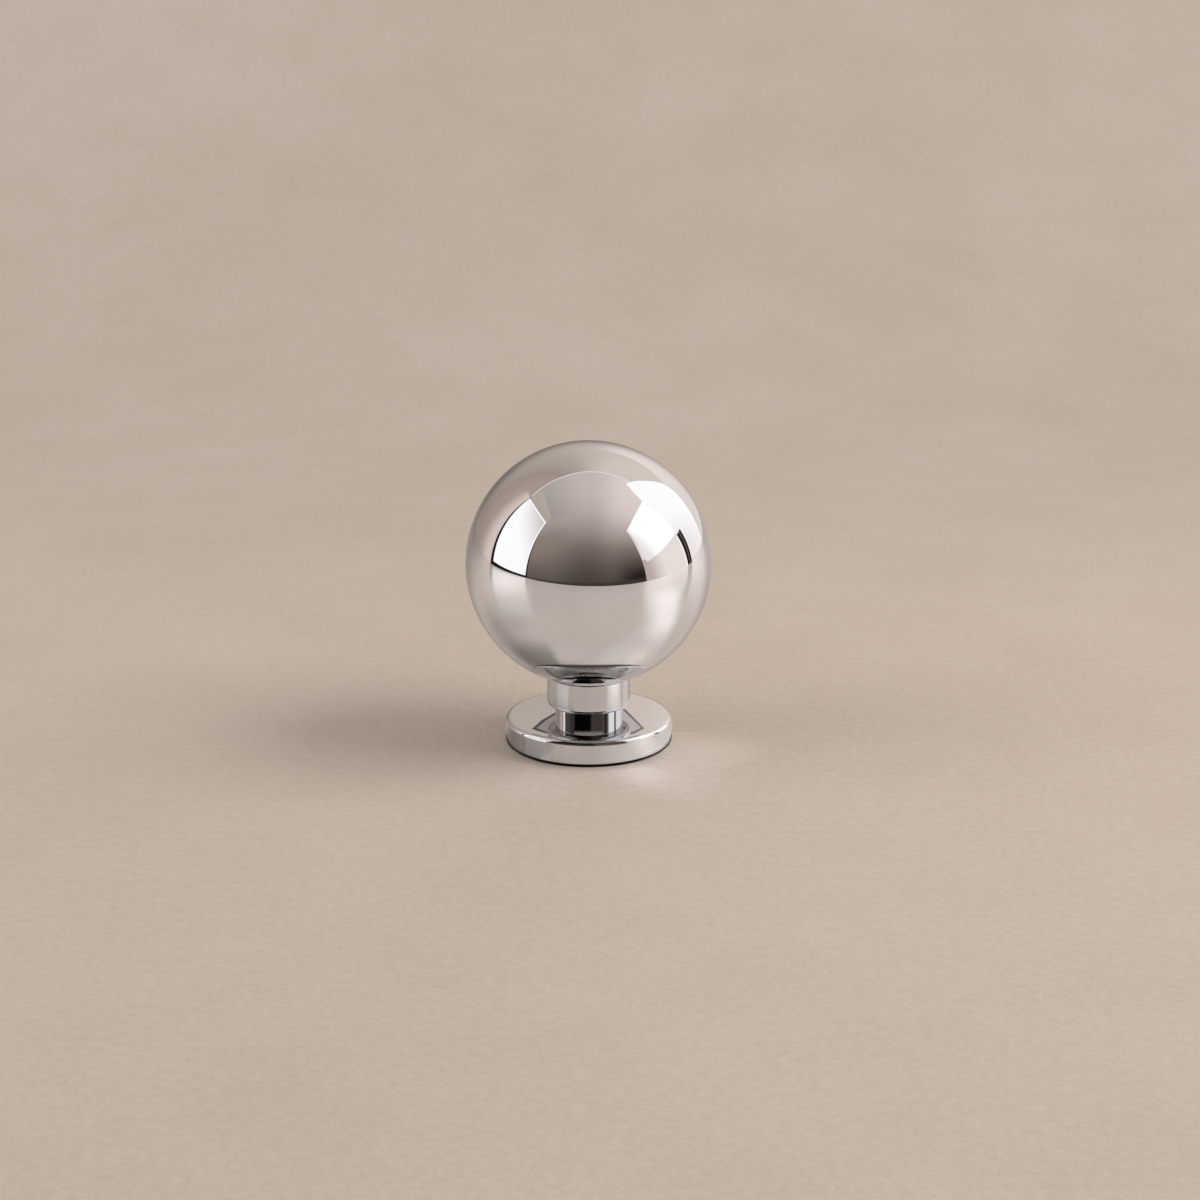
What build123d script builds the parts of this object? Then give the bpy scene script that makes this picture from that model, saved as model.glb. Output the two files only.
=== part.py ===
from build123d import *
from math import acos, degrees, radians, sqrt, tan
import os

# Ball knob for a door or a drawer front, in brass with a mirror plating.
# Two turned pieces: a ball, and a base of disc, neck and collar that carries the ball on a stud.
# Lengths are in millimetres. The knob's axis is Z, and Z = 0 is the underside that meets the front.

# Ball
ball_diameter = 30.0

# Disc that stands on the front
disc_diameter = 20.6
disc_thickness = 3.2
disc_rim_radius = 0.6
disc_foot_radius = 0.4

# Groove between the disc and the collar, with the neck at its bottom
groove_depth = 1.0
groove_width = 1.55
neck_foot_radius = 0.1

# Collar that the ball sits on
collar_diameter = 10.3
collar_length = 3.8
collar_edge_radius = 0.5
seam_chamfer = 0.12

# Stud of the base, M6, drawn as a cylinder of the thread's outer diameter
stud_diameter = 6.0
stud_length = 10.0
stud_chamfer = 0.8
stud_relief_depth = 0.65
stud_relief_length = 1.2

# Tapped hole of the ball, which takes the stud
thread_clearance = 0.03
stud_end_gap = 1.0
ball_drill_diameter = 5.0
ball_drill_run_out = 1.5
ball_countersink = 0.4

# Tapped fixing hole under the base, M4, drawn at the thread's outer diameter
fixing_diameter = 4.0
fixing_thread_depth = 7.2
fixing_drill_diameter = 3.3
fixing_drill_run_out = 0.6
fixing_countersink = 0.4

# Point of both drills
drill_point_angle = 118.0

# Heights and the place of the ball, which follow from the sizes above
ball_radius = ball_diameter / 2
collar_radius = collar_diameter / 2
neck_diameter = collar_diameter - 2 * groove_depth
collar_bottom = disc_thickness + groove_width
seat_height = collar_bottom + collar_length
ball_centre = seat_height + sqrt(ball_radius**2 - collar_radius**2)
stud_top = seat_height + stud_length
same_place = 0.01


def tapped_hole(mouth, thread_diameter, thread_depth, drill_diameter, run_out, countersink):
    """Half section of a blind tapped hole that runs up from the height of its mouth."""
    wall = thread_diameter / 2
    drill = drill_diameter / 2
    thread_end = mouth + thread_depth
    drill_end = thread_end + run_out
    point_height = drill / tan(radians(drill_point_angle / 2))
    with BuildSketch(Plane.XZ) as half_section:
        with BuildLine():
            Polyline(
                (0, mouth),
                (wall + countersink, mouth),
                (wall, mouth + countersink),
                (wall, thread_end),
                (drill, thread_end),
                (drill, drill_end),
                (0, drill_end + point_height),
                close=True,
            )
        make_face()
    return half_section.sketch


def ring_edges(piece, diameter, height):
    """Circular edges of a turned piece that have this diameter and lie at this height."""
    circles = piece.edges().filter_by(GeomType.CIRCLE)
    level = circles.filter_by_position(Axis.Z, height - same_place, height + same_place)
    return level.filter_by(lambda edge: abs(edge.radius - diameter / 2) < same_place)


# Ball: a full sphere but for the flat seat underneath, drilled and tapped for the stud
ball_thread_depth = stud_length + stud_end_gap
seat_angle = degrees(acos(collar_radius / ball_radius))

with BuildPart() as ball:
    with BuildSketch(Plane.XZ):
        with BuildLine():
            outline = CenterArc((0, ball_centre), ball_radius, -seat_angle, 90 + seat_angle)
            Line(outline @ 1, (0, seat_height))
            Line((0, seat_height), outline @ 0)
        make_face()
    revolve(axis=Axis.Z)
    stud_hole = tapped_hole(
        seat_height,
        stud_diameter + 2 * thread_clearance,
        ball_thread_depth,
        ball_drill_diameter,
        ball_drill_run_out,
        ball_countersink,
    )
    revolve(stud_hole, axis=Axis.Z, mode=Mode.SUBTRACT)

# Base: disc, neck, collar and stud turned from one bar
relief_diameter = stud_diameter - 2 * stud_relief_depth
relief_top = seat_height + stud_relief_length

with BuildPart() as base:
    with BuildSketch(Plane.XZ):
        with BuildLine():
            Polyline(
                (0, 0),
                (disc_diameter / 2, 0),
                (disc_diameter / 2, disc_thickness),
                (neck_diameter / 2, disc_thickness),
                (neck_diameter / 2, collar_bottom),
                (collar_radius, collar_bottom),
                (collar_radius, seat_height),
                (relief_diameter / 2, seat_height),
                (relief_diameter / 2, relief_top),
                (stud_diameter / 2, relief_top),
                (stud_diameter / 2, stud_top),
                (0, stud_top),
                close=True,
            )
        make_face()
    revolve(axis=Axis.Z)
    fillet(ring_edges(base, disc_diameter, disc_thickness), radius=disc_rim_radius)
    fillet(ring_edges(base, disc_diameter, 0), radius=disc_foot_radius)
    fillet(ring_edges(base, neck_diameter, disc_thickness), radius=neck_foot_radius)
    fillet(ring_edges(base, collar_diameter, collar_bottom), radius=collar_edge_radius)
    chamfer(ring_edges(base, collar_diameter, seat_height), length=seam_chamfer)
    chamfer(ring_edges(base, stud_diameter, stud_top), length=stud_chamfer)
    fixing_hole = tapped_hole(
        0,
        fixing_diameter,
        fixing_thread_depth,
        fixing_drill_diameter,
        fixing_drill_run_out,
        fixing_countersink,
    )
    revolve(fixing_hole, axis=Axis.Z, mode=Mode.SUBTRACT)

ball.part.label = "ball"
base.part.label = "base"

os.makedirs("parts", exist_ok=True)
export_step(ball.part, "parts/ball.step")
export_step(base.part, "parts/base.step")
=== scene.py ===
"""Ball knob in mirror plating: the looks of its two turned pieces, in a plain studio.

Each piece stands for the construction's piece of the same name. Lengths are in metres, the knob's
axis is Z, and Z = 0 is the underside that meets the front.
"""

import logging
from collections.abc import Mapping, Sequence
from dataclasses import dataclass, field
from enum import Enum
from math import acos, atan, atan2, cos, degrees, pi, radians, sin, tan
from typing import Any

import bpy
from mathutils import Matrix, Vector


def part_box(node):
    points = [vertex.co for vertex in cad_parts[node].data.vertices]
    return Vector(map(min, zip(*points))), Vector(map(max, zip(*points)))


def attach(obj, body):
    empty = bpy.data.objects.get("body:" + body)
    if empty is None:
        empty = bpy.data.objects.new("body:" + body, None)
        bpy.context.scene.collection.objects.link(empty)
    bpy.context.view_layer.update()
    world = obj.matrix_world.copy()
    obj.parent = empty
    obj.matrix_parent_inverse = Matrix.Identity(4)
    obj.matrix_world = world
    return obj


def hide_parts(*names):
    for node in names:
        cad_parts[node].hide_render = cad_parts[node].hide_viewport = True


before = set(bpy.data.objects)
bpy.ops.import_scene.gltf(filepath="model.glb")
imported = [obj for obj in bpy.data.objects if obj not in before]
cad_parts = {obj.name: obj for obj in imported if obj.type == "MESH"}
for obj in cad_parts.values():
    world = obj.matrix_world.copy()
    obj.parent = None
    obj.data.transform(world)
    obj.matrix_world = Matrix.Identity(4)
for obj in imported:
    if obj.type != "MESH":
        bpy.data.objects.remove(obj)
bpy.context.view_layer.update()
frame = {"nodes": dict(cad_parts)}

log = logging.getLogger("ball_knob")

MM = 0.001
FULL_TURN = 2 * pi
SURROUNDINGS = 1.5
# Limits that lie beyond the studio and beyond a full turn
ENDLESS = (9.0, 9.1)
ALL_ROUND = (-400, -399, 399, 400)
# Ranges of an angle in degrees, and of a sine
HALF_TURN = (0, 180)
SINES = (-1, 1)
# Kinds of ray that don't see what shows in polished surfaces only
POLISH_ONLY = ("camera", "diffuse", "shadow")

Range = tuple[float, float]
Point = tuple[float, float]
Span = tuple[float, float, float, float]
Noise = tuple[float, float, float]
Colour = tuple[float, float, float, float]
Stops = tuple[tuple[float, Colour], ...]
Socket = bpy.types.NodeSocket
Material = bpy.types.Material
Mesh = bpy.types.Mesh
Object = bpy.types.Object


class Slot(Enum):
    """Names for the finishes of the two pieces, which this script does not give them."""

    BALL = "ball_chrome"
    BASE = "base_chrome"


class Body(Enum):
    """The knob has one rigid body, which both pieces belong to."""

    KNOB = "root"


def tone(red: float, green: float, blue: float) -> Colour:
    """Turns a colour as a screen shows it, from 0 to 255, into the linear light that makes it."""
    parts = [value / 255 for value in (red, green, blue)]
    linear = [part / 12.92 if part <= 0.04045 else ((part + 0.055) / 1.055) ** 2.4 for part in parts]
    return (linear[0], linear[1], linear[2], 1.0)


def tones(*rows: Span) -> Stops:
    """Lists tones with their places. Each row gives a place, red, green and blue."""
    return tuple((place, tone(*parts)) for place, *parts in rows)


BLACK = tone(0, 0, 0)
WHITE = tone(255, 255, 255)
FRAME_BLACK = tone(30, 25, 23)


def direction(azimuth: float, elevation: float) -> Vector:
    """Points from the knob to its surroundings.

    Args:
        azimuth: Degrees round the axis: 0 is towards the photographer and 90 to their right.
        elevation: Degrees above the horizon.

    Returns:
        A vector of length one.
    """
    turn, rise = radians(azimuth), radians(elevation)
    return Vector((sin(turn) * cos(rise), -cos(turn) * cos(rise), sin(rise)))


def add_object(name: str, data: Any) -> Object:
    """Adds an object at the origin."""
    item = bpy.data.objects.new(name, data)
    bpy.context.scene.collection.objects.link(item)
    return item


class NodeBench:
    """Adds nodes to one tree and wires them up."""

    def __init__(self, tree: bpy.types.NodeTree, coordinates: str = "") -> None:
        """Takes the tree that the nodes go into, and the coordinates that shaders go by."""
        self.tree = tree
        if coordinates:
            self.place = self.add("ShaderNodeTexCoord").outputs[coordinates]
            self.axes = self.add("ShaderNodeSeparateXYZ", {0: self.place}).outputs

    def add(self, kind: str, inputs: Mapping[int | str, Any] | None = None, **settings: Any) -> bpy.types.Node:
        """Adds a node.

        Args:
            kind: The node's type.
            inputs: Values or sockets for the node's inputs, by name or by number.
            settings: The node's own properties.

        Returns:
            The node.
        """
        node = self.tree.nodes.new(kind)
        for name, value in settings.items():
            setattr(node, name, value)
        for key, value in (inputs or {}).items():
            if isinstance(value, Socket):
                self.tree.links.new(value, node.inputs[key])
            else:
                node.inputs[key].default_value = value
        return node

    def first(self, kind: str, inputs: Mapping[int | str, Any] | None = None, **settings: Any) -> Socket:
        """Adds a node and gives its first output."""
        return self.add(kind, inputs, **settings).outputs[0]

    def math(self, operation: str, *values: Any) -> Socket:
        """Works out one number from others."""
        return self.first("ShaderNodeMath", dict(enumerate(values)), operation=operation)

    def times(self, first: Any, second: Any) -> Socket:
        """Multiplies two numbers."""
        return self.math("MULTIPLY", first, second)

    def vector(self, operation: str, *values: Any) -> Sequence[Socket]:
        """Works out a vector or a number from vectors."""
        return self.add("ShaderNodeVectorMath", dict(enumerate(values)), operation=operation).outputs

    def mix(self, factor: Any, first: Any, second: Any, blend_type: str = "MIX") -> Socket:
        """Mixes two colours, from the first at 0 to the second at 1."""
        return self.add("ShaderNodeMix", {0: factor, 6: first, 7: second}, data_type="RGBA",
                        blend_type=blend_type).outputs[2]

    def step(self, value: Any, low: float, high: float, to_low: float = 0.0, to_high: float = 1.0) -> Socket:
        """Turns one range into another, smoothly, and holds the ends."""
        inputs = {0: value, 1: low, 2: high, 3: to_low, 4: to_high}
        return self.first("ShaderNodeMapRange", inputs, interpolation_type="SMOOTHSTEP")

    def between(self, value: Socket, start: float, full: float, fading: float, end: float) -> Socket:
        """Gives one between two limits and nothing beyond two wider ones."""
        return self.times(self.step(value, start, full), self.step(value, end, fading))

    def ramp(self, value: Any, stops: Stops, low: float, high: float) -> Socket:
        """Runs through a row of colours.

        Args:
            value: Where along the row.
            stops: Each colour with its place along the row.
            low: Place of the row's start.
            high: Place of its end.

        Returns:
            The colour there.
        """
        share = self.first("ShaderNodeMapRange", {0: value, 1: low, 2: high})
        node = self.add("ShaderNodeValToRGB", {0: share})
        elements = node.color_ramp.elements
        while len(elements) < len(stops):
            elements.new(1.0)
        for element, (place, colour) in zip(elements, stops):
            element.position = (place - low) / (high - low)
            element.color = colour
        return node.outputs[0]

    def from_axis(self) -> Socket:
        """Gives the place's distance from the axis."""
        level = self.first("ShaderNodeCombineXYZ", {0: self.axes[0], 1: self.axes[1]})
        return self.vector("LENGTH", level)["Value"]

    def azimuth(self) -> Socket:
        """Gives the place's degrees round the axis, with 0 towards the photographer."""
        return self.times(self.math("ARCTAN2", self.axes[0], self.times(self.axes[1], -1.0)), degrees(1))

    def scaled(self, colour: Socket | Sequence[float], share: Any) -> Socket:
        """Gives a share of a colour."""
        first = colour if isinstance(colour, Socket) else colour[:3]
        return self.first("ShaderNodeVectorMath", {0: first, "Scale": share}, operation="SCALE")

    def bump(self, height: Socket, depth: float, normal: Socket | None = None) -> Socket:
        """Gives the normal of a surface with a relief."""
        inputs = {"Height": height, "Distance": depth}
        if normal:
            inputs["Normal"] = normal
        return self.first("ShaderNodeBump", inputs)

    def noise(self, vector: Socket, size: float, detail: float, roughness: float) -> Socket:
        """Adds a noise pattern with blotches of this size."""
        inputs = {"Vector": vector, "Scale": 1 / size, "Detail": detail, "Roughness": roughness}
        return self.first("ShaderNodeTexNoise", inputs)

    def principled(self, **inputs: Any) -> Socket:
        """Adds a principled shader, with underscores for the spaces in its inputs' names."""
        named = {name.replace("_", " "): value for name, value in inputs.items()}
        return self.first("ShaderNodeBsdfPrincipled", named)

    def glow(self, colour: Any, strength: Any) -> Socket:
        """Adds a shader that gives light."""
        return self.first("ShaderNodeEmission", {0: colour, 1: strength})

    def mix_shaders(self, factor: Any, *shaders: Socket | None) -> Socket:
        """Mixes two shaders, from the first at 0 to the second at 1. None stands for black."""
        inputs = {place: shader for place, shader in enumerate(shaders, 1) if shader}
        return self.first("ShaderNodeMixShader", {0: factor, **inputs})

    def show(self, shader: Socket, kind: str = "ShaderNodeOutputMaterial") -> None:
        """Sends the finished shader out."""
        self.add(kind, {0: shader})


def new_material(name: str) -> tuple[Material, NodeBench]:
    """Makes an empty node material, and a bench for its nodes."""
    material = bpy.data.materials.new(name)
    material.use_nodes = True
    material.node_tree.nodes.clear()
    return material, NodeBench(material.node_tree, "Object")


@dataclass(frozen=True)
class MirrorPlating:
    """Polished brass with a bright mirror plating, duller where it is faced.

    It mirrors about six tenths of the light, so the studio's panels are that much brighter.
    """

    bright: Colour = tone(208, 208, 209)
    dim: Colour = tone(205, 205, 206)
    # Roughness of the polished surfaces, and the values of the waves between which it changes
    polish: Range = (0.004, 0.014)
    polish_turn: Range = (0.3, 0.7)
    # The polisher's slight waves, and the finest lines, which run round the axis: size, detail, roughness, depth
    waves: Noise = (4.0 * MM, 1.0, 0.5)
    waviness: float = 0.0006 * MM
    hairlines: Noise = (0.05 * MM, 2.0, 0.5)
    hairline_depth: float = 0.00001 * MM
    # Surfaces lower than this are faced and not polished, and show the marks of the facing cut
    faced_height: float = 0.03 * MM
    faced_roughness: float = 0.26
    facing_pitch: float = 0.12 * MM
    facing_depth: float = 0.004 * MM

    def material(self, name: str) -> Material:
        """Makes the finish under this name."""
        material, bench = new_material(name)
        radius = bench.from_axis()
        faced = bench.math("LESS_THAN", bench.axes[2], self.faced_height)

        waves = bench.noise(bench.place, *self.waves)
        lathe_place = bench.first("ShaderNodeCombineXYZ", {0: radius, 2: bench.axes[2]})
        hairlines = bench.noise(lathe_place, *self.hairlines)
        marks = bench.math("SINE", bench.times(radius, FULL_TURN / self.facing_pitch))

        polish = bench.step(waves, *self.polish_turn, *self.polish)
        roughness = bench.math("MAXIMUM", polish, bench.times(faced, self.faced_roughness))
        lined = bench.bump(hairlines, self.hairline_depth, bench.bump(waves, self.waviness))
        turned = bench.bump(bench.times(marks, faced), self.facing_depth, lined)
        bench.show(bench.principled(Base_Color=bench.mix(waves, self.dim, self.bright), Metallic=1.0,
                                    Roughness=roughness, Normal=turned))
        return material


@dataclass(frozen=True)
class Pool:
    """A painted pool of light on the table, which only polished surfaces see.

    Attributes:
        azimuths: Where round the knob it starts, is full, fades and ends, in degrees.
        reach: Distances from the axis where it starts, is full, fades and ends.
        light: Its light.
    """

    azimuths: Span
    reach: Span
    light: tuple[float, float, float]

    def shine(self, bench: NodeBench, azimuth: Socket, from_axis: Socket) -> Socket:
        """Works out its light at a place, given by its azimuth and its distance from the axis."""
        across = bench.between(azimuth, *self.azimuths)
        return bench.scaled(self.light, bench.times(across, bench.between(from_axis, *self.reach)))


@dataclass(frozen=True)
class TableTop:
    """Pale trowelled plaster with soft clouds and a fine relief.

    It is matt to the camera. Polished surfaces see a brighter copy with its sheen, painted pools of light and painted
    shade.
    """

    light: Colour = tone(197, 182, 169)
    dark: Colour = tone(186, 170, 156)
    # Greyer copies of the two colours that only polished surfaces see: a painted sheen
    mirrored_light: Colour = tone(196, 185, 177)
    mirrored_dark: Colour = tone(185, 173, 164)
    # Size, detail and roughness of each noise
    clouds: Noise = (130 * MM, 3.0, 0.6)
    blotches: Noise = (22 * MM, 5.0, 0.65)
    relief: Noise = (1.1 * MM, 2.0, 0.55)
    relief_depth: float = 0.12 * MM
    grain: Noise = (0.4 * MM, 2.0, 0.6)
    grain_depth: float = 0.02 * MM
    # Shares of clouds, blotches, relief and grain in the pattern that mixes the two colours.
    # Relief and grain count from their middle, and by less at the far end of their reach.
    shares: Span = (0.55, 0.45, 0.6, 0.5)
    fine_middle: float = 0.55
    fine_reach: Range = (0.0, 150 * MM)
    fine_share: Range = (1.0, 0.5)
    contrast: Range = (0.2, 0.8)
    matt_roughness: float = 0.6
    matt_level: float = 0.1
    sheen_roughness: float = 0.24
    sheen_level: float = 0.7
    # Behind the knob the lamps' light gives way to an even tone, a little darker on the left
    far: Range = (40 * MM, 150 * MM)
    far_strength: Range = (0.965, 1.0)
    far_span: float = 120 * MM
    # A painted contact shadow at the knob's foot: a black line that grows towards the front, and a soft painted shade
    # round it
    foot: Range = (10.1 * MM, 10.55 * MM)
    foot_front: Range = (-4 * MM, -10 * MM)
    foot_shade: float = 12.8 * MM
    foot_depth: float = 0.22
    # Polished surfaces see painted light and shade: a dark foot, pools of light, the knob's own shade, and less light
    # behind it.
    # Azimuths are in degrees and reaches are distances from the axis.
    mirrored_foot: Range = (10.35 * MM, 11.6 * MM)
    pools: tuple[Pool, ...] = (
        Pool((-100, -80, 190, 200), (30 * MM, 120 * MM, *ENDLESS), (0.155, 0.136, 0.134)),
        Pool((40, 54, 62, 76), (10 * MM, 11 * MM, 15 * MM, 21 * MM), (0.16, 0.145, 0.13)),
        Pool((44, 68, 76, 93), (16 * MM, 34 * MM, 60 * MM, 110 * MM), (0.43, 0.44, 0.45)),
        Pool((44, 58, 70, 86), (60 * MM, 110 * MM, *ENDLESS), (0.11, 0.12, 0.13)),
        Pool((-102, -92, -78, -52), (50 * MM, 95 * MM, *ENDLESS), (0.156, 0.152, 0.16)),
    )
    shade_azimuths: Span = (-115, -85, -43, -31)
    shade_reach: Range = (25 * MM, 15 * MM)
    shade_depth: float = 0.4
    behind: Range = (112, 148)
    behind_share: float = 0.58

    def material(self, name: str) -> Material:
        """Makes the finish under this name."""
        material, bench = new_material(name)
        relief = bench.noise(bench.place, *self.relief)
        grain = bench.noise(bench.place, *self.grain)
        blend = self.pattern(bench, relief, grain)
        surface = bench.bump(grain, self.grain_depth, bench.bump(relief, self.relief_depth))
        camera_view = self.camera_view(bench, blend, surface)
        rays = bench.add("ShaderNodeLightPath").outputs
        bench.show(bench.mix_shaders(rays["Is Glossy Ray"], camera_view, self.mirrored_view(bench, blend)))
        return material

    def pattern(self, bench: NodeBench, relief: Socket, grain: Socket) -> Socket:
        """Works out how pale a place is, from clouds, blotches, relief and grain."""
        cloud, mottle, coarse, fine = self.shares
        clouds = bench.noise(bench.place, *self.clouds)
        blotches = bench.noise(bench.place, *self.blotches)
        wide = bench.math("MULTIPLY_ADD", clouds, cloud, bench.times(blotches, mottle))
        narrow = bench.math("MULTIPLY_ADD", relief, coarse, bench.times(grain, fine))
        near = bench.step(bench.axes[1], *self.fine_reach, *self.fine_share)
        narrow = bench.times(bench.math("SUBTRACT", narrow, self.fine_middle), near)
        return bench.step(bench.math("ADD", wide, narrow), *self.contrast)

    def camera_view(self, bench: NodeBench, blend: Socket, surface: Socket) -> Socket:
        """Makes the shader that the camera sees: matt plaster with a painted contact shadow at the knob's foot, and
        an even tone far away.

        Args:
            bench: The bench of the material.
            blend: How pale the plaster is there.
            surface: The relief's normal.

        Returns:
            The shader.
        """
        from_axis = bench.from_axis()
        # Painted contact shadow: a black line at the foot and a soft painted shade round it, towards the front
        line = bench.step(from_axis, *self.foot, 1.0, 0.0)
        soft = bench.step(from_axis, self.foot[0], self.foot_shade, self.foot_depth, 0.0)
        painted_contact_shadow = bench.times(bench.math("MAXIMUM", line, soft), bench.step(bench.axes[1], *self.foot_front))
        colour = bench.mix(painted_contact_shadow, bench.mix(blend, self.dark, self.light), BLACK)
        matt = bench.principled(Base_Color=colour, Roughness=self.matt_roughness, Specular_IOR_Level=self.matt_level,
                                Normal=surface)
        even = bench.glow(colour, bench.step(bench.axes[0], -self.far_span, self.far_span, *self.far_strength))
        return bench.mix_shaders(bench.step(bench.axes[1], *self.far), matt, even)

    def mirrored_view(self, bench: NodeBench, blend: Socket) -> Socket:
        """Makes the shader that polished surfaces see: a brighter copy with painted pools of light and the knob's
        painted shade.

        Args:
            bench: The bench of the material.
            blend: How pale the plaster is there.

        Returns:
            The shader.
        """
        azimuth, from_axis = bench.azimuth(), bench.from_axis()
        # Painted shade of the knob, a painted dark foot and painted dimness behind the knob
        shade = bench.times(bench.between(azimuth, *self.shade_azimuths),
                            bench.step(from_axis, *self.shade_reach, 0.0, self.shade_depth))
        behind = bench.step(bench.math("ABSOLUTE", azimuth), *self.behind, 1.0, self.behind_share)
        clear = bench.times(bench.math("SUBTRACT", 1.0, shade), bench.step(from_axis, *self.mirrored_foot))
        # Painted pools of light, as emission that only polished surfaces see
        light = bench.scaled(BLACK, 0.0)
        for pool in self.pools:
            light = bench.vector("ADD", light, pool.shine(bench, azimuth, from_axis))[0]
        # A brighter copy of the plaster for polished surfaces only: painted light
        colour = bench.scaled(bench.mix(blend, self.mirrored_dark, self.mirrored_light), SURROUNDINGS)
        sheen = bench.principled(Base_Color=colour, Roughness=self.sheen_roughness,
                                 Specular_IOR_Level=self.sheen_level, Emission_Color=light, Emission_Strength=1.0)
        return bench.mix_shaders(bench.times(clear, behind), None, sheen)


@dataclass(frozen=True)
class Glow:
    """A lit surface that runs from one colour to another.

    Attributes:
        start: Colour at the start of the run.
        end: Colour at its end.
        strength: Strength of both.
    """

    start: Colour
    end: Colour
    strength: float = 1.0

    def material(self, name: str, start_at: Vector, end_at: Vector) -> Material:
        """Makes the finish.

        Args:
            name: The material's name.
            start_at: Place of the first colour.
            end_at: Place of the second colour.

        Returns:
            The material.
        """
        material, bench = new_material(name)
        run = end_at - start_at
        from_start = bench.vector("SUBTRACT", bench.place, start_at[:])[0]
        along = bench.vector("DOT_PRODUCT", from_start, (run / run.length_squared)[:])["Value"]
        colour = bench.mix(bench.step(along, 0.0, 1.0), self.start, self.end)
        bench.show(bench.glow(colour, self.strength * SURROUNDINGS))
        return material


@dataclass(frozen=True)
class Corner:
    """A corner of a half section, sharp unless it has a fillet."""

    radius: float
    height: float
    fillet: float = 0.0


@dataclass
class HalfSection:
    """The outline of a turned piece, on one side of its axis.

    Attributes:
        points: Radius and height of each point, from the axis round to the axis.
        fillet_steps: Facets on a quarter turn of a fillet.
        hold: Distance of the extra ring that keeps a flat surface flat beside a fillet.
    """

    points: list[Point] = field(default_factory=list)
    fillet_steps: int = 16
    hold: float = 0.03 * MM

    def corners(self, corners: Sequence[Corner]) -> None:
        """Adds straight runs with rounded corners. The first and the last corner are sharp."""
        self.points.append((corners[0].radius, corners[0].height))
        for before, corner, after in zip(corners, corners[1:], corners[2:]):
            self.points.extend(self.rounded(before, corner, after))
        self.points.append((corners[-1].radius, corners[-1].height))

    def rounded(self, before: Corner, corner: Corner, after: Corner) -> list[Point]:
        """Works out the points that round one corner off.

        Args:
            before: The corner before it.
            corner: The corner itself.
            after: The corner after it.

        Returns:
            The corner alone if it is sharp, or its arc with a holding point at each end.
        """
        here = Vector((corner.radius, corner.height))
        if not corner.fillet:
            return [here[:]]
        back = (Vector((before.radius, before.height)) - here).normalized()
        ahead = (Vector((after.radius, after.height)) - here).normalized()
        half_angle = back.angle(ahead) / 2
        reach = corner.fillet / tan(half_angle)
        centre = here + (back + ahead).normalized() * (corner.fillet / sin(half_angle))
        start, end = here + back * reach - centre, here + ahead * reach - centre
        sweep = start.angle(end)
        steps = max(2, round(self.fillet_steps * sweep / (pi / 2)))
        arc = [
            centre + (start * sin(sweep * (1 - share)) + end * sin(sweep * share)) / sin(sweep)
            for share in (step / steps for step in range(steps + 1))
        ]
        holds = (here + back * (reach + self.hold), here + ahead * (reach + self.hold))
        return [holds[0][:], *(point[:] for point in arc), holds[1][:]]

    def dome(self, centre_height: float, radius: float, start: float, steps: int) -> None:
        """Adds an arc that is centred on the axis and ends on top of it.

        Args:
            centre_height: Height of the arc's centre.
            radius: The arc's radius.
            start: Angle of its start, in radians above the horizontal.
            steps: Number of facets.
        """
        for step in range(steps):
            angle = start + (pi / 2 - start) * step / steps
            self.points.append((radius * cos(angle), centre_height + radius * sin(angle)))
        self.points.append((0.0, centre_height + radius))

    def mesh(self, name: str) -> Mesh:
        """Makes a row of loose vertices in the XZ plane."""
        mesh = bpy.data.meshes.new(name)
        mesh.from_pydata([(across, 0.0, height) for across, height in self.points], [], [])
        return mesh


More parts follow.
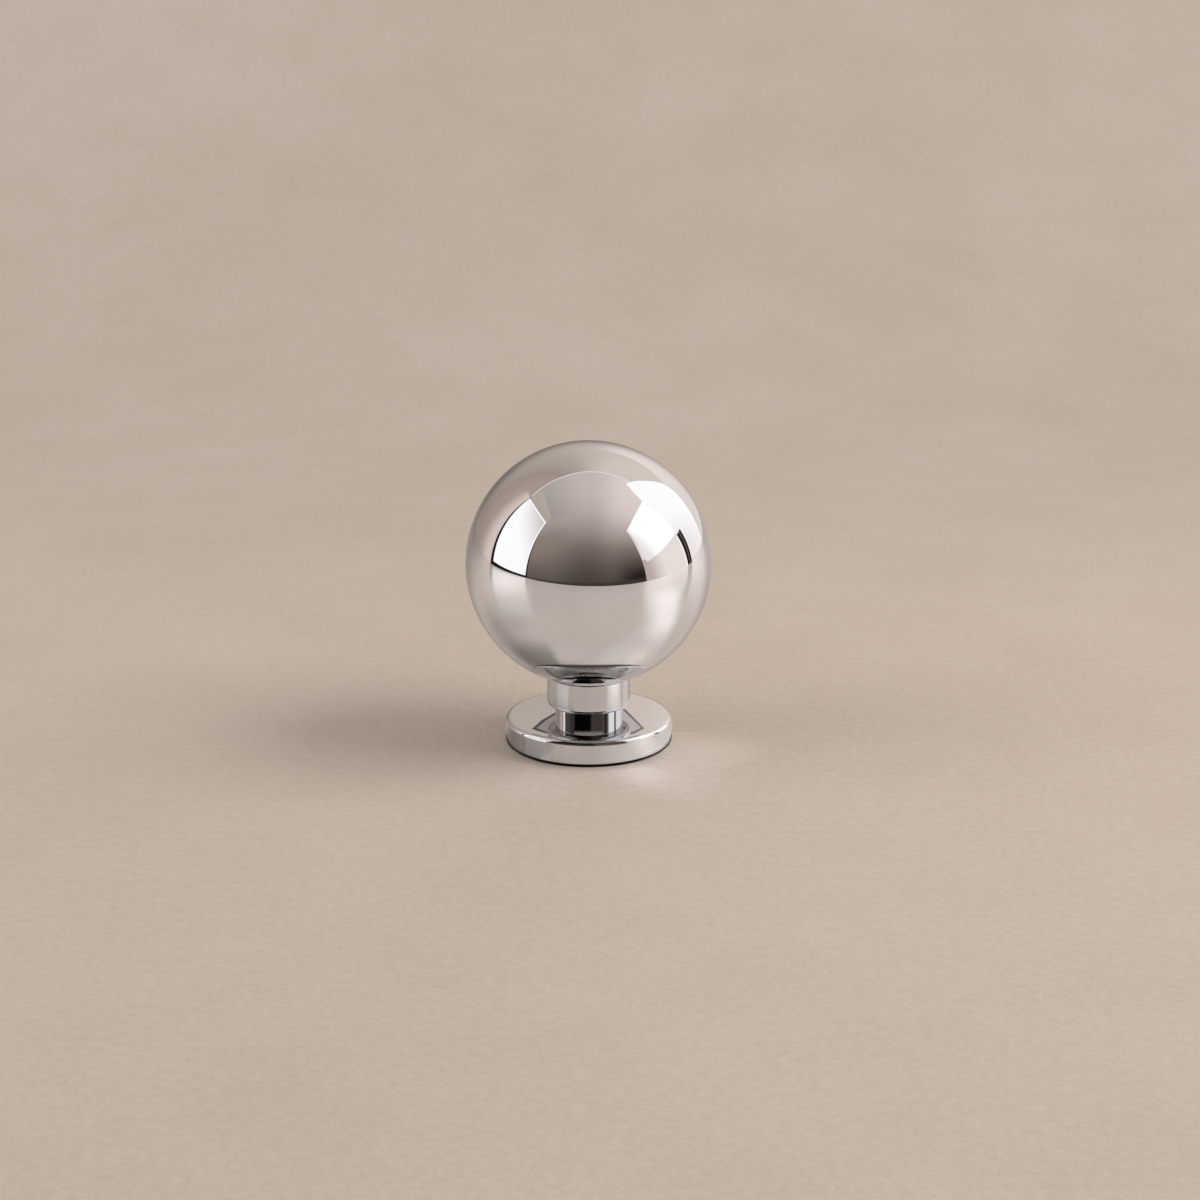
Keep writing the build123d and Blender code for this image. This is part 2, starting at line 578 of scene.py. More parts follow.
class TurnedForm:
    """A node tree that sweeps a row of points round the Z axis and, for a thread, along it.

    Each point of the row is a column of a grid, and each step of the sweep is a row. A thread's ends
    run out: there the section shrinks towards its root.
    """

    INPUTS = (
        ("Section", "NodeSocketGeometry"),
        ("Steps", "NodeSocketInt"),
        ("Turns", "NodeSocketFloat"),
        ("Pitch", "NodeSocketFloat"),
        ("Run Out Turns", "NodeSocketFloat"),
        ("Root Radius", "NodeSocketFloat"),
        ("Sharp Angle", "NodeSocketFloat"),
        ("Merge Distance", "NodeSocketFloat"),
        ("Finish", "NodeSocketMaterial"),
    )
    SHARP_ANGLE = radians(28)
    MERGE_DISTANCE = 0.0005 * MM
    LEAST_RUN_OUT = 1e-6

    def __init__(self, name: str) -> None:
        """Builds the tree under this name."""
        self.tree = bpy.data.node_groups.new(name, "GeometryNodeTree")
        for label, kind in self.INPUTS:
            self.tree.interface.new_socket(name=label, in_out="INPUT", socket_type=kind)
        self.tree.interface.new_socket(name="Piece", in_out="OUTPUT", socket_type="NodeSocketGeometry")
        self.wire(NodeBench(self.tree))

    def wire(self, bench: NodeBench) -> None:
        """Adds the tree's nodes."""
        given = bench.add("NodeGroupInput").outputs
        section, steps, turns = given["Section"], given["Steps"], given["Turns"]
        count = bench.add("GeometryNodeAttributeDomainSize", {0: section}).outputs["Point Count"]
        rows = bench.math("ADD", steps, 1.0)
        grid = bench.first("GeometryNodeMeshGrid", {"Vertices X": count, "Vertices Y": rows})
        index = bench.first("GeometryNodeInputIndex")
        column, row = (bench.first("FunctionNodeIntegerMath", {0: index, 1: rows}, operation=operation)
                       for operation in ("DIVIDE_FLOOR", "MODULO"))
        position = bench.first("GeometryNodeInputPosition")
        point = bench.first("GeometryNodeSampleIndex", {"Geometry": section, "Value": position, "Index": column},
                            data_type="FLOAT_VECTOR")
        point_axes = bench.add("ShaderNodeSeparateXYZ", {0: point}).outputs

        turned = bench.times(bench.math("DIVIDE", row, steps), turns)
        nearest_end = bench.math("MINIMUM", turned, bench.math("SUBTRACT", turns, turned))
        shrunk = bench.math("MINIMUM", bench.math("DIVIDE", nearest_end, given["Run Out Turns"]), 1.0)
        plain = bench.math("LESS_THAN", given["Run Out Turns"], self.LEAST_RUN_OUT)
        size = bench.math("MAXIMUM", shrunk, plain)
        from_root = bench.math("SUBTRACT", point_axes[0], given["Root Radius"])
        across = bench.math("ADD", given["Root Radius"], bench.times(from_root, size))
        climb = bench.times(turned, given["Pitch"])
        height = bench.math("ADD", bench.times(point_axes[2], size), climb)
        upright = bench.first("ShaderNodeCombineXYZ", {0: across, 2: height})
        placed = bench.first("ShaderNodeVectorRotate", {"Vector": upright, "Angle": bench.times(turned, FULL_TURN)},
                             rotation_type="Z_AXIS")
        swept = bench.first("GeometryNodeSetPosition", {"Geometry": grid, "Position": placed})
        merged = bench.first("GeometryNodeMergeByDistance", {"Geometry": swept, "Distance": given["Merge Distance"]})
        smooth = bench.first("GeometryNodeSetShadeSmooth", {"Geometry": merged, "Shade Smooth": True})
        fold = bench.add("GeometryNodeInputMeshEdgeAngle").outputs["Unsigned Angle"]
        sharp = bench.first("FunctionNodeCompare", {0: fold, 1: given["Sharp Angle"]})
        edged = bench.first("GeometryNodeSetShadeSmooth", {"Geometry": smooth, "Selection": sharp,
                                                           "Shade Smooth": False}, domain="EDGE")
        real = bench.first("GeometryNodeRealizeInstances", {0: edged})
        dressed = bench.first("GeometryNodeSetMaterial", {"Geometry": real, "Material": given["Finish"]})
        bench.show(dressed, "NodeGroupOutput")

    def make(self, name: str, section: HalfSection, finish: Material, steps: int, **sizes: float) -> Mesh:
        """Sweeps a section and keeps the result as a plain mesh.

        Args:
            name: The mesh's name.
            section: The points to sweep.
            finish: The material of the result.
            steps: Facets along the whole sweep.
            sizes: The tree's other inputs, with underscores for spaces.

        Returns:
            The mesh.
        """
        row = add_object(name + "_section", section.mesh(name + "_section"))
        sweep = row.modifiers.new("sweep", "NODES")
        sweep.node_group = self.tree
        values = {"Steps": steps, "Turns": 1.0, "Pitch": 0.0, "Run Out Turns": 0.0, "Root Radius": 0.0,
                  "Sharp Angle": self.SHARP_ANGLE, "Merge Distance": self.MERGE_DISTANCE, "Finish": finish}
        values.update({label.replace("_", " "): value for label, value in sizes.items()})
        for item in self.tree.interface.items_tree:
            if item.in_out == "INPUT" and item.name in values:
                sweep[item.identifier] = values[item.name]
        graph = bpy.context.evaluated_depsgraph_get()
        mesh = bpy.data.meshes.new_from_object(row.evaluated_get(graph))
        mesh.name = name
        row.modifiers.remove(sweep)
        bpy.data.objects.remove(row)
        return mesh


def add_piece(meshes: Sequence[Mesh], node: str) -> Object:
    """Joins meshes into one piece that stands for a node of the construction.

    Args:
        meshes: The meshes, all with the same material. The piece has the name of the first.
        node: The node that it stands for.

    Returns:
        The piece.
    """
    piece, *others = [add_object(mesh.name, mesh) for mesh in meshes]
    if others:
        with bpy.context.temp_override(active_object=piece, selected_editable_objects=[piece, *others]):
            bpy.ops.object.join()
    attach(piece, Body.KNOB.value)
    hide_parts(node)
    log.info("%s: %d faces, in place of %s", piece.name, len(piece.data.polygons), node)
    return piece


@dataclass(frozen=True)
class TappedHole:
    """A blind tapped hole, which opens downwards.

    Attributes:
        radius: The thread's greatest radius.
        depth: Depth of the thread.
        drill_radius: Radius of the drilled hole beyond the thread.
        run_out: How far the drill goes beyond the thread.
        countersink: Width of the chamfer at the mouth.
        point_angle: Angle of the drill's point, in degrees.
    """

    radius: float
    depth: float
    drill_radius: float
    run_out: float
    countersink: float
    point_angle: float = 118.0

    def corners(self, mouth: float) -> list[Corner]:
        """Lists the corners, from the tip on the axis down to the edge of a mouth at this height."""
        thread_end = mouth + self.depth
        drill_end = thread_end + self.run_out
        tip = drill_end + self.drill_radius / tan(radians(self.point_angle / 2))
        return [
            Corner(0.0, tip),
            Corner(self.drill_radius, drill_end),
            Corner(self.drill_radius, thread_end),
            Corner(self.radius, thread_end),
            Corner(self.radius, mouth + self.countersink),
            Corner(self.radius + self.countersink, mouth),
        ]


@dataclass
class Thread:
    """A right-hand metric thread, as a ridge that winds along the wall of a hole.

    Attributes:
        root_radius: Radius of the wall that the ridge stands on.
        crest_radius: Radius of its crest.
        pitch: Distance from turn to turn.
        bottom: Height where it starts.
        top: Height where it ends.
        root_share: Half the ridge's width at the wall, as a share of the pitch.
        crest_share: Half its width at the crest, likewise.
        sunk: How deep it is sunk into the wall.
        run_out: Turns that each end takes to run out.
        steps_per_turn: Facets of each turn.
    """

    root_radius: float
    crest_radius: float
    pitch: float
    bottom: float
    top: float
    root_share: float = 7 / 16
    crest_share: float = 1 / 8
    sunk: float = 0.02 * MM
    run_out: float = 0.5
    steps_per_turn: int = 72

    def mesh(self, form: TurnedForm, name: str, finish: Material) -> Mesh:
        """Winds the ridge.

        Args:
            form: The tree that sweeps it.
            name: The mesh's name.
            finish: Its material.

        Returns:
            The mesh.
        """
        root_half, crest_half = self.pitch * self.root_share, self.pitch * self.crest_share
        sunk_radius = self.root_radius + self.sunk
        section = HalfSection([
            (sunk_radius, self.bottom + root_half),
            (self.crest_radius, self.bottom + crest_half),
            (self.crest_radius, self.bottom - crest_half),
            (sunk_radius, self.bottom - root_half),
            (sunk_radius, self.bottom + root_half),
        ])
        turns = (self.top - self.bottom) / self.pitch
        return form.make(name, section, finish, round(turns * self.steps_per_turn), Turns=turns,
                         Pitch=self.pitch, Run_Out_Turns=self.run_out, Root_Radius=sunk_radius)


@dataclass
class Ball:
    """The ball: a sphere with a flat seat underneath, tapped for the stud."""

    finish: Material
    seat_radius: float = 5.15 * MM
    hole: TappedHole = TappedHole(radius=3.03 * MM, depth=11.0 * MM, drill_radius=2.5 * MM, run_out=1.5 * MM,
                                  countersink=0.4 * MM)
    arc_steps: int = 200
    steps: int = 400

    def build(self, form: TurnedForm) -> Object:
        """Turns the ball, with the tree that sweeps its section."""
        low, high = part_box("ball")
        radius = (high[0] - low[0]) / 2
        section = HalfSection()
        section.corners(self.hole.corners(low[2]))
        section.dome(high[2] - radius, radius, -acos(self.seat_radius / radius), self.arc_steps)
        mesh = form.make("ball_plated", section, self.finish, self.steps)
        return add_piece([mesh], "ball")


@dataclass
class Base:
    """The base: disc, neck, collar and stud, turned from one bar."""

    finish: Material
    disc_thickness: float = 3.2 * MM
    disc_rim_fillet: float = 0.6 * MM
    disc_foot_fillet: float = 0.4 * MM
    neck_radius: float = 4.15 * MM
    groove_width: float = 1.55 * MM
    collar_radius: float = 5.15 * MM
    collar_length: float = 3.8 * MM
    collar_fillet: float = 0.5 * MM
    seam_chamfer: float = 0.12 * MM
    relief_radius: float = 2.35 * MM
    relief_length: float = 1.2 * MM
    stud_radius: float = 3.0 * MM
    stud_chamfer: float = 0.8 * MM
    hole: TappedHole = TappedHole(radius=2.0 * MM, depth=7.2 * MM, drill_radius=1.65 * MM, run_out=0.6 * MM,
                                  countersink=0.4 * MM)
    crest_radius: float = 1.62 * MM
    pitch: float = 0.7 * MM
    steps: int = 320

    def build(self, form: TurnedForm) -> Object:
        """Turns the base and cuts its thread, with the tree that sweeps its sections."""
        low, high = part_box("base")
        disc_radius = (high[0] - low[0]) / 2
        stud_top = high[2]
        collar_bottom = self.disc_thickness + self.groove_width
        seat = collar_bottom + self.collar_length
        section = HalfSection()
        section.corners([
            *self.hole.corners(0.0),
            Corner(disc_radius, 0.0, self.disc_foot_fillet),
            Corner(disc_radius, self.disc_thickness, self.disc_rim_fillet),
            Corner(self.neck_radius, self.disc_thickness),
            Corner(self.neck_radius, collar_bottom),
            Corner(self.collar_radius, collar_bottom, self.collar_fillet),
            Corner(self.collar_radius, seat - self.seam_chamfer),
            Corner(self.collar_radius - self.seam_chamfer, seat),
            Corner(self.relief_radius, seat),
            Corner(self.relief_radius, seat + self.relief_length),
            Corner(self.stud_radius, seat + self.relief_length),
            Corner(self.stud_radius, stud_top - self.stud_chamfer),
            Corner(self.stud_radius - self.stud_chamfer, stud_top),
            Corner(0.0, stud_top),
        ])
        body = form.make("base_plated", section, self.finish, self.steps)
        thread = Thread(self.hole.radius, self.crest_radius, self.pitch, self.hole.countersink + self.pitch / 2,
                        self.hole.depth - self.pitch / 2)
        return add_piece([body, thread.mesh(form, "fixing_thread", self.finish)], "base")


def hide_from(item: Object, *rays: str) -> None:
    """Hides an object from these kinds of ray."""
    for kind in rays:
        setattr(item, "visible_" + kind, False)


def add_stage(name: str, points: Sequence, faces: Sequence, material: Material, *hidden_from: str) -> None:
    """Adds a part of the studio.

    Args:
        name: Its name.
        points: Its vertices.
        faces: Its faces.
        material: Its finish.
        hidden_from: The kinds of ray that miss it.
    """
    mesh = bpy.data.meshes.new(name)
    mesh.from_pydata([point[:] for point in points], [], faces)
    mesh.materials.append(material)
    part = add_object(name, mesh)
    hide_from(part, *hidden_from)
    log.info("%s stands in the studio", name)


@dataclass(frozen=True)
class Panel:
    """A flat lit panel that shows only in polished surfaces.

    Attributes:
        name: Its name.
        corners: Azimuth and elevation of each corner, as seen from the ball's centre.
        facing: Azimuth and elevation of the middle of the plane it lies in.
        distance: How far that plane is from the ball's centre.
        glow: How it is lit.
        run: Where the glow starts and ends. It runs from the foot to the head unless it is given.
    """

    name: str
    corners: tuple[Point, ...]
    facing: Point
    distance: float
    glow: Glow
    run: tuple[Point, Point] | None = None

    def build(self, centre: Vector) -> None:
        """Stands the panel up round the ball's centre."""
        points = [self.place(corner, centre) for corner in self.corners]
        by_height = sorted(points, key=lambda point: point.z)
        start, end = by_height[0], Vector((*by_height[0].xy, by_height[-1].z))
        if self.run:
            start, end = (self.place(at, centre) for at in self.run)
        add_stage(self.name, points, [tuple(range(len(points)))], self.glow.material(self.name, start, end),
                  *POLISH_ONLY)

    def place(self, at: Point, centre: Vector) -> Vector:
        """Finds where a line of sight from the ball's centre meets the panel's plane."""
        ray = direction(*at)
        return centre + ray * (self.distance / ray.dot(direction(*self.facing)))


PANELS = (
    Panel("left_box_case", ((-55.4, 43.6), (-103.6, 47.0), (-101.0, -6.0), (-57.2, -6.0)), (-83, 0), 0.424,
          Glow(FRAME_BLACK, FRAME_BLACK)),
    Panel("left_box_trim", ((-55.4, 44.4), (-102.8, 46.8), (-97.4, -0.6), (-58.6, -1.6)), (-83, 0), 0.422,
          Glow(WHITE, WHITE)),
    Panel("left_box_screen", ((-57.2, 43.6), (-101.8, 46.0), (-96.4, 0.0), (-60.6, -0.9)), (-83, 0), 0.42,
          Glow(WHITE, tone(210, 201, 197), 1.04), ((-82, 24), (-54, 42))),
    Panel("left_valance", ((-105, 46), (-54.0, 44.0), (-53, 50), (-74, 56), (-104, 57)), (-80, 50), 0.8,
          Glow(tone(178, 165, 157), tone(184, 171, 163))),
    Panel("left_wing", ((-98, 47), (-117, 44.5), (-121, 35), (-125, 20), (-124.5, -2), (-98, -2.5)), (-111, 0),
          0.7, Glow(tone(212, 198, 189), tone(164, 150, 141)), ((-106, 15), (-124, 15))),
    Panel("right_flat", ((47, 38), (49.4, 22), (52.4, 8), (54.4, -5.5), (104, -5.5), (104, 48)), (78, 0), 0.96,
          Glow(tone(188, 174, 166), tone(236, 227, 221)), ((56, 2), (76, 8))),
    Panel("right_box_case", ((45.4, 39.7), (64, 47.6), (96, 50.4), (110.8, 17.6), (53.2, 7.4)), (80, 32), 0.92,
          Glow(tone(232, 225, 222), tone(224, 216, 212))),
    Panel("right_box_screen", ((46.8, 39.5), (64.6, 47.0), (95, 49.6), (109.9, 18.0), (56.4, 9.6)), (80, 32), 0.9,
          Glow(tone(232, 226, 223), WHITE, 1.08), ((54, 22), (64, 28))),
    Panel("right_post", ((98.3, 16.2), (105.9, 16.8), (109.4, -5.0), (102.7, -5.0)), (104, 0), 0.29,
          Glow(FRAME_BLACK, tone(46, 41, 38))),
    Panel("right_post_light", ((102.2, 16.4), (103.1, 16.4), (106.9, -4.5), (105.8, -4.5)), (104, 0), 0.287,
          Glow(tone(104, 94, 88), tone(112, 102, 96))),
    Panel("right_post_edge", ((96.7, 15.8), (98.3, 15.8), (102.7, -4.5), (101.1, -4.5)), (104, 0), 0.285,
          Glow(WHITE, WHITE)),
    Panel("right_wing", ((92, 47), (101, 57), (117, 61.5), (126, 52.5), (132, 41), (138, 29), (139, 21),
                         (137.5, 12), (137, 3), (137.5, -3), (103, -3.5)), (116, 10), 0.6,
          Glow(tone(238, 231, 228), WHITE, 1.03), ((107, 2), (120, 26))),
)


@dataclass(frozen=True)
class BallMirror:
    """Tells which point of the ball shows the camera what lies in a direction.

    Attributes:
        centre: The ball's centre.
        radius: Its radius.
        eye: Where the camera stands.
        rounds: How often the answer is made better.
    """

    centre: Vector
    radius: float
    eye: Vector
    rounds: int = 9

    def shows(self, way: Vector) -> Vector:
        """Finds the point where the camera's line of sight turns into this direction."""
        point = self.centre
        for _ in range(self.rounds):
            point = self.centre + ((self.eye - point).normalized() + way).normalized() * self.radius
        return point


@dataclass(frozen=True)
class Tint:
    """How a thin sheet paints shade and light into reflections. It is clear beyond its azimuths.

    Attributes:
        left: Its colour on the left.
        right: Its colour on the right.
        turn: Azimuths between which one gives way to the other, in degrees.
        azimuths: Where round the knob it starts, is full, fades and ends.
        band: Colour of a band across it, if it has one.
        band_reach: Distances from the axis where the band starts, is full, fades and ends.
    """

    left: Colour
    right: Colour
    turn: Range
    azimuths: Span = ALL_ROUND
    band: Colour | None = None
    band_reach: Span = (56.5 * MM, 58.5 * MM, 61.8 * MM, 63.4 * MM)

    def material(self, name: str) -> Material:
        """Makes the finish under this name."""
        material, bench = new_material(name)
        azimuth = bench.azimuth()
        colour = bench.mix(bench.step(azimuth, *self.turn), self.left, self.right)
        if self.band:
            colour = bench.mix(bench.between(bench.from_axis(), *self.band_reach), colour, self.band)
        clear = bench.first("ShaderNodeBsdfTransparent")
        bench.show(bench.mix_shaders(bench.between(azimuth, *self.azimuths), clear, bench.glow(colour, SURROUNDINGS)))
        return material


@dataclass(frozen=True)
class Sheet:
    """A thin sheet over the table that low surfaces see and the ball sees edge on: painted shade and light in their
    reflections.
    """

    name: str
    tint: Tint
    points: Sequence[tuple[float, ...]]
    faces: Sequence[tuple[int, ...]]

    @classmethod
    def fan(cls, name: str, tint: Tint, mirror: BallMirror, ways: range, reach: Range) -> "Sheet":
        """Plans a fan of the ball's level lines of sight, so that the ball sees it edge on.

        Args:
            name: Its name.
            tint: Its colours.
            mirror: The ball.
            ways: Azimuths of those lines.
            reach: Where the sheet starts and ends along them.

        Returns:
            The sheet.
        """
        points = []
        for azimuth in ways:
            way = direction(azimuth, 0.0)
            start = mirror.shows(way)
            points += [(start + way * distance)[:] for distance in reach]
        return cls(name, tint, points, [(i, i + 1, i + 3, i + 2) for i in range(0, len(points) - 3, 2)])

    @classmethod
    def level(cls, name: str, tint: Tint, height: float, *outline: Point) -> "Sheet":
        """Plans a level sheet.

        Args:
            name: Its name.
            tint: Its colours.
            height: Its height in millimetres.
            outline: Its corners in millimetres, seen from above.

        Returns:
            The sheet.
        """
        points = [(across * MM, along * MM, height * MM) for across, along in outline]
        return cls(name, tint, points, [tuple(range(len(points)))])

    def build(self) -> None:
        """Hangs the sheet."""
        add_stage(self.name, self.points, self.faces, self.tint.material(self.name), *POLISH_ONLY)


def sheets(mirror: BallMirror) -> list[Sheet]:
    """Lists the sheets: dark ones in front that paint shade into reflections, and pale ones behind that paint
    reflections on the top of the disc.
    """
    # Tints of the painted shade in front of and beside the knob
    front = Tint(tone(9, 8, 7), tone(74, 66, 61), (3, 13), (-54, -48, 46, 54), tone(144, 138, 134))
    left = Tint(tone(84, 77, 73), tone(60, 55, 52), (-75, -55), (-88, -86, -52, -46))
    right = Tint(tone(74, 66, 61), tone(58, 52, 48), (46, 54), (46, 52, 64, 76))
    beside = (44 * MM, 64 * MM)
    return [
        Sheet.fan("front_sheet", front, mirror, range(-64, 65, 2), (4 * MM, 255 * MM)),
        Sheet.fan("left_sheet", left, mirror, range(-102, -49, 2), beside),
        Sheet.fan("right_sheet", right, mirror, range(50, 91, 2), beside),
        # Painted reflections on the top of the disc
        Sheet.level("disc_right_sheet", Tint(tone(214, 201, 193), tone(200, 187, 180), (171, 176)), 37.55,
                    (5.0, 112), (5.0, 86), (18, 86), (18, 112)),
        Sheet.level("disc_edge_sheet", Tint(tone(80, 72, 70), tone(120, 111, 110), (-1, 1)), 37.5,
                    (-5.4, 102), (-8.3, 96.6), (-9.9, 92.2), (-7.3, 89.7), (-4.67, 88.0), (0.0, 86.8), (4.5, 88.0),
                    (6.9, 89.7), (8.7, 92.4), (5.7, 102.2)),
        Sheet.level("disc_front_sheet", Tint(tone(138, 131, 129), tone(178, 171, 169), (-1, 1)), 37.45,
                    (-4.7, 102), (-7.5, 96.6), (-9.1, 92.5), (-7.1, 90.35), (-4.6, 88.65), (0.0, 87.4), (4.4, 88.65),
                    (6.6, 90.3), (8.2, 92.6), (5.1, 102.2)),
    ]


@dataclass(frozen=True)
class Room:
    """What lies beyond the table: a dark front that rises to a pale ceiling, and a pale backdrop.

    A direction is given by its three parts: to the right, away from the photographer, and up.
    """

    # Front and ceiling by degrees from the front horizon, over the zenith
    ceiling: Stops = tones(
        (0, 75, 67, 61), (13, 91, 81, 76), (22, 106, 95, 88), (31, 123, 112, 104), (40, 146, 134, 127),
        (50, 165, 153, 146), (60, 181, 168, 163), (69, 190, 177, 172), (86, 197, 185, 180), (112, 200, 188, 183))
    front_left: Stops = tones(
        (0, 100, 89, 81), (7, 108, 97, 89), (19, 125, 112, 104), (31, 137, 124, 116), (46, 142, 130, 122),
        (70, 190, 177, 172))
    front_right: Stops = tones(
        (0, 30, 26, 24), (7, 49, 43, 39), (19, 82, 73, 67), (32, 112, 101, 95), (50, 160, 148, 142),
        (70, 190, 177, 172))
    # Degrees where the front's own tones begin, and parts to the right where each side's do
    front_end: Range = (70, 50)
    left_side: Range = (-0.05, -0.7)
    right_side: Range = (0.3, 0.75)
    # How much brighter the ceiling grows to the right and darker to the left
    right_gain: float = 0.34
    right_gain_end: float = 0.5
    left_loss: float = 0.27
    left_loss_end: float = -0.6
    # Backdrop from left to right by the sine of the azimuth, and its brightness by degrees above the horizon
    backdrop: Stops = tones(
        (-0.85, 169, 154, 145), (-0.65, 158, 144, 135), (-0.5, 168, 155, 146), (-0.25, 176, 163, 154),
        (0.0, 193, 180, 172), (0.35, 210, 198, 190), (0.6, 214, 201, 193))
    backdrop_foot: Stops = tones(
        (0, 160, 160, 160), (4, 170, 170, 170), (9.7, 192, 192, 192), (12.6, 209, 209, 209), (14, 216, 216, 216),
        (21, 241, 241, 241), (32, 255, 255, 255))
    # How much of the backdrop's dark foot is missing at the sides, and between which sines
    foot_relief: float = 0.8
    foot_left: Range = (-0.3, -0.7)
    foot_right: Range = (0.0, 0.5)
    # The ceiling's far edge, whose height is a share of its distance and rises to the left
    edge_slope: float = 2.747
    edge_skew: float = 0.35
    edge_tone: Colour = tone(236, 227, 223)
    edge_width: float = 0.1
    edge_blur: float = 0.01
    # The lit foot of the backdrop, on the right
    side_glow: Colour = tone(231, 220, 214)
    side_glow_slope: float = 0.65
    side_glow_blur: float = 0.02
    side_glow_side: Range = (-0.02, 0.3)
    # The floor beyond the table, and the parts up and away between which it begins
    below: Colour = tone(62, 55, 50)
    below_height: Range = (-0.02, -0.07)
    below_depth: Range = (0.2, 0.0)
    # What the camera sees beyond the floor, and the even light on matt surfaces
    background: Colour = tone(190, 174, 160)
    fill: Colour = (1.0, 0.985, 0.97, 1.0)
    fill_strength: float = 0.55

    def build(self) -> None:
        """Makes the world."""
        world = bpy.data.worlds.new("room")
        world.use_nodes = True
        world.node_tree.nodes.clear()
        bench = NodeBench(world.node_tree, "Generated")
        above_edge = self.above_edge(bench)
        room = bench.mix(bench.step(above_edge, 0.0, self.edge_blur), self.backdrop_tone(bench),
                         self.ceiling_tone(bench, above_edge))
        beyond = bench.times(bench.step(bench.axes[2], *self.below_height),
                             bench.step(bench.axes[1], *self.below_depth))
        room = bench.mix(beyond, room, self.below)

        rays = bench.add("ShaderNodeLightPath").outputs
        lit, seen, mirrored = (bench.first("ShaderNodeBackground", {0: colour, 1: strength}) for colour, strength in (
            (self.fill, self.fill_strength), (self.background, 1.0), (room, SURROUNDINGS)))
        polished = bench.mix_shaders(rays["Is Glossy Ray"], lit, mirrored)
        bench.show(bench.mix_shaders(rays["Is Camera Ray"], polished, seen), "ShaderNodeOutputWorld")
        bpy.context.scene.world = world

    def above_edge(self, bench: NodeBench) -> Socket:
        """Tells how far a direction lies above the ceiling's far edge."""
        axes = bench.axes
        leftwards = bench.math("MAXIMUM", bench.times(axes[0], -1.0), 0.0)
        rise = bench.math("ADD", bench.times(axes[1], self.edge_slope), bench.times(leftwards, self.edge_skew))
        return bench.math("SUBTRACT", axes[2], rise)

    def ceiling_tone(self, bench: NodeBench, above_edge: Socket) -> Socket:
        """Works out the tone of the front and the ceiling."""
        axes = bench.axes
        over = bench.times(bench.math("ARCTAN2", axes[2], bench.times(axes[1], -1.0)), degrees(1))
        colour, left, right = (bench.ramp(over, stops, *HALF_TURN)
                               for stops in (self.ceiling, self.front_left, self.front_right))
        low = bench.step(over, *self.front_end)
        colour = bench.mix(bench.times(low, bench.step(axes[0], *self.left_side)), colour, left)
        colour = bench.mix(bench.times(low, bench.step(axes[0], *self.right_side)), colour, right)
        gain = bench.step(axes[0], 0.0, self.right_gain_end, 1.0, 1.0 + self.right_gain)
        loss = bench.times(bench.step(axes[0], 0.0, self.left_loss_end, 0.0, self.left_loss),
                           bench.math("SUBTRACT", 1.0, low))
        colour = bench.scaled(colour, bench.math("SUBTRACT", gain, loss))
        return bench.mix(bench.step(above_edge, self.edge_width, 0.0), colour, self.edge_tone)

    def backdrop_tone(self, bench: NodeBench) -> Socket:
        """Works out the tone of the backdrop."""
        axes = bench.axes
        across = bench.math("DIVIDE", axes[0], bench.from_axis())
        wall = bench.ramp(across, self.backdrop, *SINES)
        above_foot = bench.math("SUBTRACT", bench.times(axes[1], self.side_glow_slope), axes[2])
        glow = bench.times(bench.step(above_foot, 0.0, self.side_glow_blur),
                           bench.step(axes[0], *self.side_glow_side))
        wall = bench.mix(glow, wall, self.side_glow)
        rise = bench.times(bench.math("ARCSINE", axes[2]), degrees(1))
        foot = bench.ramp(rise, self.backdrop_foot, *HALF_TURN)
        sides = bench.math("MAXIMUM", bench.step(across, *self.foot_right), bench.step(across, *self.foot_left))
        foot = bench.mix(bench.times(sides, self.foot_relief), foot, WHITE)
        return bench.mix(1.0, wall, foot, "MULTIPLY")


@dataclass(frozen=True)
class Table:
    """A round table top that shows in the ball, and the floor and the sweep beyond it for the camera.

    Centre, radius and reach are those of the table and the floor. The sweep is a wall with a curved foot.
    """

    finish: TableTop = TableTop()
    centre: Point = (-100 * MM, 150 * MM)
    radius: float = 424 * MM
    reach: float = 8.0
    steps: int = 128
    sweep_start: float = 150 * MM
    sweep_radius: float = 250 * MM
    sweep_top: float = 2.0
    sweep_half_width: float = 3.0
    sweep_steps: int = 48

    def build(self) -> None:
        """Lays the floor and stands the sweep up."""
        material = self.finish.material("plaster")
        inner, outer = self.ring(self.radius), self.ring(self.reach)
        add_stage("table_top", inner, [tuple(range(self.steps))], material)
        count = self.steps
        faces = [(i, i + count, (i + 1) % count + count, (i + 1) % count) for i in range(count)]
        add_stage("floor_beyond", inner + outer, faces, material, "glossy")

        angles = [pi / 2 * step / self.sweep_steps for step in range(self.sweep_steps + 1)]
        profile = [(self.sweep_start + self.sweep_radius * sin(a), self.sweep_radius * (1 - cos(a))) for a in angles]
        profile.append((profile[-1][0], self.sweep_top))
        points = [(side * self.sweep_half_width, along, up) for along, up in profile for side in (-1, 1)]
        strips = [(2 * i, 2 * i + 1, 2 * i + 3, 2 * i + 2) for i in range(len(profile) - 1)]
        add_stage("sweep", points, strips, material, "glossy", "diffuse", "shadow")

    def ring(self, radius: float) -> list[tuple[float, float, float]]:
        """Lists points round the table's centre."""
        angles = [FULL_TURN * step / self.steps for step in range(self.steps)]
        return [(self.centre[0] + radius * cos(a), self.centre[1] + radius * sin(a), 0.0) for a in angles]


def hang(name: str, light: bpy.types.Light, target: Vector, away: Vector, distance: float) -> None:
    """Hangs a light that points at a place and shows in no surface.

    Args:
        name: Its name.
        light: What it gives off.
        target: The place it points at.
        away: Direction from there to the light.
        distance: How far away it hangs.
    """
    lamp = add_object(name, light)
    lamp.location = target + away * distance
    lamp.rotation_euler = away.to_track_quat("Z", "Y").to_euler()
    hide_from(lamp, "glossy", "camera")


